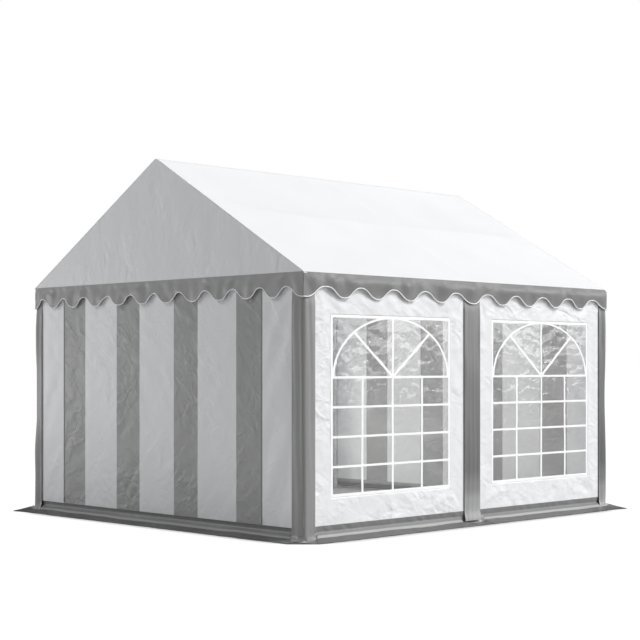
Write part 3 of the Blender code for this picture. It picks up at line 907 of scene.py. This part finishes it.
def strip_painted_light(tree, layout):
    """The strips over the mid and back posts: painted shade half way down, and a painted highlight at the
    foot.
    """
    share = in_range(tree, axis_of(tree, layout, "Y"), 0.0, 1.0, STRIP_FOOT_Z, STRIP_TOP_Z)
    return tone_ramp(tree, share, [(place, (tone, tone, tone)) for place, tone in STRIP_PAINTED_TONES], "EASE")


strip_cloth = cloth_material("strip_coated_cloth", strip_leg_painted_shade, 0.36, 0.0012, 0.10, 1.5)
painted_light_cloth = cloth_material("strip_cloth_painted_light", strip_painted_light, 0.36, 0.0012, 0.10, 1.5)


def corner_path(run, outward):
    """Point of a corner strip in plan for the front right corner. run is 0 at the corner's middle."""
    bend_half = POST_BEND * math.pi / 4
    centre = Vector((STRIP_OUT_X - POST_BEND, -STRIP_OUT_Y + POST_BEND))
    if abs(run) <= bend_half:
        angle = -math.pi / 4 + run / POST_BEND
        radius = POST_BEND + outward
        return centre + Vector((radius * math.cos(angle), radius * math.sin(angle)))
    straight = abs(run) - bend_half
    if run > 0:
        return centre + Vector((POST_BEND + outward, straight))
    return centre + Vector((-straight, -POST_BEND - outward))


def strip_folds(run, up, seed, half):
    """Upright folds that drift along the strip. It stands a little off the wall below the valance."""
    drift = 0.03 * soft_noise(0.3, up / 0.7, seed + 1)
    folds = 0.0055 * soft_noise((run + drift) / 0.042, up / 1.3, seed)
    billow = 0.0050 * soft_noise(1.7, up / 0.33, seed + 2)
    tucked = 1 - 0.85 * fade(up, 1.83, 1.91)
    return max(-0.002, 0.006 + (folds + billow) * fade(half - abs(run), 0.0, 0.03)) * tucked


def corner_strip(end_name, side_name, seed, legs, bulges, foot_z, flares, material):
    """legs and flares are for the gable and the long wall. bulges says how far out it stands by height."""
    end, side = (-1 if end_name == "front" else 1), (-1 if side_name == "left" else 1)
    gable_half, side_half = [leg - POST_BEND + POST_BEND * math.pi / 4 for leg in legs]
    shape = flat_cloth((-gable_half, side_half), (foot_z, STRIP_TOP_Z), STRIP_CELL)

    def place(run, up):
        half, flare = (side_half, flares[1]) if run > 0 else (gable_half, flares[0])
        outward = strip_folds(run, up, seed, half)
        outward += flare * (abs(run) / half) ** 0.7 * (1 - fade(up, foot_z, foot_z + 0.045)) ** 1.5
        for (low, near), (high, far) in zip(bulges, bulges[1:]):
            if low <= up <= high:
                outward += (near + (far - near) * fade(up, low, high)) * fade(half - abs(run), 0.0, half)
        plan = corner_path(run, outward)
        return Vector((side * plan.x, -end * plan.y, up))

    hang_cloth(shape, place)
    if side * end > 0:
        bmesh.ops.reverse_faces(shape, faces=shape.faces)
    name = f"corner_strip_{end_name}_{side_name}"
    piece = make_piece(f"{name}_cloth", shape, material, CLOTH_THICKNESS)
    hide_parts(name)


STRAIGHT = ((0.0, 0.0), (2.2, 0.0))
LEFT_BULGES = (
    (0.0, 0.016), (0.20, 0.015), (0.48, 0.017), (1.04, -0.006), (1.70, 0.006), (1.90, 0.0), (2.2, 0.0)
)
FAR_BULGES = (
    (0.0, 0.016), (0.20, 0.020), (0.50, 0.020), (1.04, 0.004), (1.70, 0.022), (1.90, 0.016), (2.2, 0.004)
)
near_legs = (CORNER_LEG, CORNER_LEG - 0.012)
left_legs = (CORNER_LEG - 0.030, CORNER_LEG - 0.030)
far_legs = (CORNER_LEG - 0.036, CORNER_LEG - 0.036)
corner_strip("front", "right", 80, near_legs, STRAIGHT, NEAR_FOOT_Z, (0.080, 0.022), strip_cloth)
corner_strip("front", "left", 85, left_legs, LEFT_BULGES, CORNER_FOOT_Z, (0.016, 0.008), strip_cloth)
for side_name, seed in (("right", 90), ("left", 95)):
    corner_strip("back", side_name, seed, far_legs, FAR_BULGES, CORNER_FOOT_Z, (0.016, 0.016), painted_light_cloth)

MID_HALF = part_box("mid_strip_right")[1].y
MID_FOOT_Z = STRIP_FOOT_Z - 0.018
MID_SHIFT = 0.021
MID_FLARE = 0.013
for side in ("right", "left"):
    shape = flat_cloth((-MID_HALF, MID_HALF), (MID_FOOT_Z, STRIP_TOP_Z), STRIP_CELL)
    seed = 101 + SIDES[side]

    def mid_place(along, up):
        flare = MID_FLARE * (1 - fade(up, MID_FOOT_Z, 0.12))
        outward = STRIP_OUT_X + strip_folds(along, up, seed, MID_HALF) + flare
        return on_side(side, along + MID_SHIFT, outward, up)

    hang_cloth(shape, mid_place)
    piece = make_piece(f"mid_strip_{side}_cloth", shape, painted_light_cloth, CLOTH_THICKNESS)
    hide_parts(f"mid_strip_{side}")
    size = (2 * MID_HALF, STRIP_TOP_Z - MID_FOOT_Z)

# Ground flap
# A grey band is welded to the foot of every wall and turns outwards on the ground, to keep out
# wind and rain. It bulges at the turn, and its raw edge lies unevenly.

FLAP_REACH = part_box("ground_flap_right")[1].x - WALL_OUT["right"]
FLAP_PROFILE = (
    (-0.006, 0.095),
    (-0.012, 0.075),
    (-0.010, 0.066),
    (0.000, 0.058),
    (0.014, 0.045),
    (0.032, 0.031),
    (0.085, 0.016),
    (FLAP_REACH, 0.0035),
)
CORNER_PROFILE = (
    (-0.004, 0.090),
    (-0.006, 0.060),
    (-0.003, 0.040),
    (0.000, 0.026),
    (0.006, 0.015),
    (0.020, 0.009),
    (0.080, 0.006),
    (FLAP_REACH, 0.0030),
)
FLAP_LAYERS = 32
FLAP_RUN = 0.25
# Painted light across the flap, from its raw edge to its weld: painted shadow line, painted shade, painted
# highlight on the ridge.
FLAP_PAINTED_TONES = ((0.0, 0.04), (0.03, 0.11), (0.1, 0.115), (0.45, 0.128))
FLAP_PAINTED_TONES += ((0.51, 0.38), (0.6, 0.39), (0.66, 0.2), (1.0, 0.25))
FLAP_TIP = 0.022
CORNER_CUT = 0.067


def flap_painted_light(tree, layout):
    """Painted light across the band: a painted highlight on the ridge at the turn, painted shade on the part
    on the ground, and a painted shadow line at its raw edge.
    """
    share = work_out(tree, "DIVIDE", axis_of(tree, layout, "Y"), FLAP_RUN)
    return tone_ramp(tree, share, [(place, (tone, tone, tone)) for place, tone in FLAP_PAINTED_TONES], "EASE")


flap_cloth = cloth_material("ground_flap_cloth", flap_painted_light, 0.36, 0.0040, 0.15)


def flap_line(share, top_z, profile):
    """Outward and height of the band's section. share is 0 at its top weld and 1 at the outer edge."""
    points = [Vector((0.0, top_z)), *map(Vector, profile)]
    lengths = [(b - a).length for a, b in zip(points, points[1:])]
    left = share * sum(lengths)
    for start, end, length in zip(points, points[1:], lengths):
        if left <= length or end is points[-1]:
            return start.lerp(end, min(1.0, left / length))
        left -= length


def wall_half(side):
    """Half the length of the wall on that side."""
    return WALL_OUT["front"] if side in ("left", "right") else WALL_OUT["right"]


def flap_place(side, along, down):
    """along runs along the wall's foot and the band is mitred at its ends. down runs out from the weld."""
    half = wall_half(side)
    top_z = SIDE_FOOT_Z if side in ("left", "right") else GABLE_FOOT_Z
    section = flap_line(down, top_z, FLAP_PROFILE)
    under_strip = flap_line(down, top_z, CORNER_PROFILE)
    cut_corner = (side, along > 0) in (("front", True), ("right", False))
    if cut_corner:
        section = under_strip.lerp(section, fade(half - abs(along), 0.116, 0.146))
    if side in ("left", "right"):
        section = under_strip.lerp(section, fade(abs(along - MID_SHIFT), 0.122, 0.150))
    out, up = section
    corner = fade(half - abs(along), 0.0, 0.12)
    seed = 120 + SIDES[side]
    out_share = out / FLAP_REACH
    ragged = 0.010 * soft_noise(along / 0.11, 0.5, seed) + 0.006 * soft_noise(along / 0.04, 1.5, seed)
    out += ragged * out_share**2 * corner + FLAP_TIP * out_share**2 * (1 - corner)
    lift = 0.006 * max(-0.5, soft_noise(along / 0.075, 2.5, seed)) * out_share * corner
    turn = math.sin(math.pi * min(1.0, out_share * 1.6))
    roll = 0.006 * soft_noise(along / 0.25, 3.5, seed) * turn * corner
    band = 0.004 * soft_noise((along + up) / 0.06, up / 0.10, seed + 6) * fade(up, 0.05, 0.07) * corner
    ridge = 0.022 * (1 - fade(half - abs(along), 0.0, 0.06)) * (1 - out_share) * fade(out_share, 0.0, 0.25)
    if cut_corner:
        ridge = 0.0
    along_mitred = along / half * (half + out)
    up = max(0.0022, up + lift + roll + ridge)
    return on_side(side, along_mitred, WALL_OUT[side] + out + band, up)


for side in SIDES:
    half = wall_half(side)
    tall = FLAP_REACH + SIDE_FOOT_Z
    shape = flat_cloth((-half, half), (0, tall), (0.015, tall / FLAP_LAYERS))
    hang_cloth(shape, lambda along, up: flap_place(side, along, 1 - up / tall))
    cut_at = Vector((WALL_OUT["right"] + WALL_OUT["front"] + CORNER_CUT * math.sqrt(2), 0, 0))
    if side in ("front", "right"):
        cut_along(shape, cut_at, Vector((1, -1, 0)).normalized(), keep_all=False)
    piece = make_piece(f"ground_flap_{side}_cloth", shape, flap_cloth, CLOTH_THICKNESS)
    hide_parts(f"ground_flap_{side}")
    wide = 2 * (half + FLAP_REACH)

# Stage
# A pale floor with a painted contact shadow at the tent's foot, a wide sun, six softboxes round the
# tent, two dim lamps inside for the light that comes through the cloth, and the photograph's camera.

FLOOR_HALF = 120
FLOOR_DROP = 0.0006


def show_to_camera(tree, output, lit, seen):
    """One shader lights the scene, and the camera sees the other."""
    camera_ray = add_node(tree, "LightPath").outputs["Is Camera Ray"]
    choice = add_node(tree, "MixShader", {0: camera_ray, 1: lit.outputs[0], 2: seen.outputs[0]})
    fill(tree, output, {"Surface": choice.outputs[0]})


floor_shape = bmesh.new()
bmesh.ops.create_grid(floor_shape, x_segments=1, y_segments=1, size=FLOOR_HALF)
floor_mesh = bpy.data.meshes.new("floor")
floor_shape.to_mesh(floor_mesh)
floor_shape.free()
floor = add_object("floor", floor_mesh)
floor.location.z = -FLOOR_DROP
floor_paint, floor_tree, floor_shader = new_material("pale_floor")
dull = {"Base Color": (0.45, 0.45, 0.45, 1), "Roughness": 0.9, "Specular IOR Level": 0.1}
fill(floor_tree, floor_shader, dull)
# The camera sees the floor as a glow, dimmed near the tent by a painted contact shadow.
open_sky = add_node(floor_tree, "AmbientOcclusion", {"Distance": 0.50}).outputs["AO"]
glow_with_painted_shadow = in_range(floor_tree, open_sky, 0.10, 1.05, 0.60, 0.78)
floor_seen = add_node(floor_tree, "Emission", {"Strength": glow_with_painted_shadow})
show_to_camera(floor_tree, floor_tree.nodes["Material Output"], floor_shader, floor_seen)
floor_mesh.materials.append(floor_paint)
floor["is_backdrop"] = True


def add_lamp(name, data, faces_from):
    """A lamp whose light runs against that direction."""
    lamp = add_object(name, data)
    lamp.rotation_euler = Vector(faces_from).to_track_quat("Z", "Y").to_euler()
    return lamp


def add_softbox(name, place, target, size, watts):
    """A rectangular lamp at that place, turned to the target and hidden from the camera."""
    data = bpy.data.lights.new(name, "AREA")
    data.shape = "RECTANGLE"
    data.size, data.size_y = size
    data.energy = watts
    lamp = add_lamp(name, data, Vector(place) - Vector(target))
    lamp.location = place
    lamp.visible_camera = False
    return lamp


sun = bpy.data.lights.new("key_sun", "SUN")
sun.energy = 3.00
sun.angle = math.radians(20)
add_lamp("key_sun", sun, (0.560, 0.360, 0.745))
add_softbox("far_softbox", (13.2, 13.6, 6.8), (1.8, 0, 1.0), (9, 5), 730)
add_softbox("sky_band_softbox", (15.5, 14.5, 3.1), (1.8, 0, 1.2), (14, 2.4), 200)
add_softbox("low_front_softbox", (-1.5, -5.5, 0.30), (0, -2, 0.1), (5.0, 0.4), 8)
add_softbox("back_softbox", (3.0, 9.2, 10.4), (1.8, 0, 1.0), (5, 5), 110)
add_softbox("upper_left_softbox", (-10.8, -10.5, 12.6), (0, -1.5, 1.5), (6, 6), 965)
add_softbox("low_left_softbox", (-9.8, -6.7, 1.2), (-1.8, -2, 1.2), (3.6, 2.6), 90)
for name, place, target, size, watts in (
    ("inner_end_lamp", (0, -1.85, 0.98), (0, 2, 0.98), (3.2, 1.9), 27),
    ("inner_top_lamp", (0, 0, 2.15), (0, 0.001, 0), (3.0, 3.4), 20),
):
    inner = add_softbox(name, place, target, size, watts)
    inner.visible_glossy = False
    inner.visible_transmission = False

world = bpy.data.worlds.new("studio")
bpy.context.scene.world = world
world.use_nodes = True
sky = world.node_tree
sky.nodes.clear()
sky_fill = add_node(sky, "Background", {"Color": (0.97, 0.985, 1.0, 1), "Strength": 0.20})
sky_seen = add_node(sky, "Background", {"Color": (1, 1, 1, 1), "Strength": 1.0})
show_to_camera(sky, add_node(sky, "OutputWorld"), sky_fill, sky_seen)
bpy.context.scene.view_settings.view_transform = "Standard"

CAMERA_PLACE = (10.0644, -9.9938, 1.36)
CAMERA_TURN = 45.3
SENSOR_WIDTH = 36
FOCAL_PIXELS = 1500
HORIZON_BELOW_CENTRE = 46
IMAGE_SIZE = 640
camera_data = bpy.data.cameras.new("camera")
camera_data.sensor_width = SENSOR_WIDTH
camera_data.lens = SENSOR_WIDTH * FOCAL_PIXELS / IMAGE_SIZE
camera_data.shift_y = HORIZON_BELOW_CENTRE / IMAGE_SIZE
camera_data.clip_end = 300
camera = add_object("camera", camera_data)
camera.location = CAMERA_PLACE
camera.rotation_euler = (math.pi / 2, 0, math.radians(CAMERA_TURN))
bpy.context.scene.camera = camera

low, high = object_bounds()
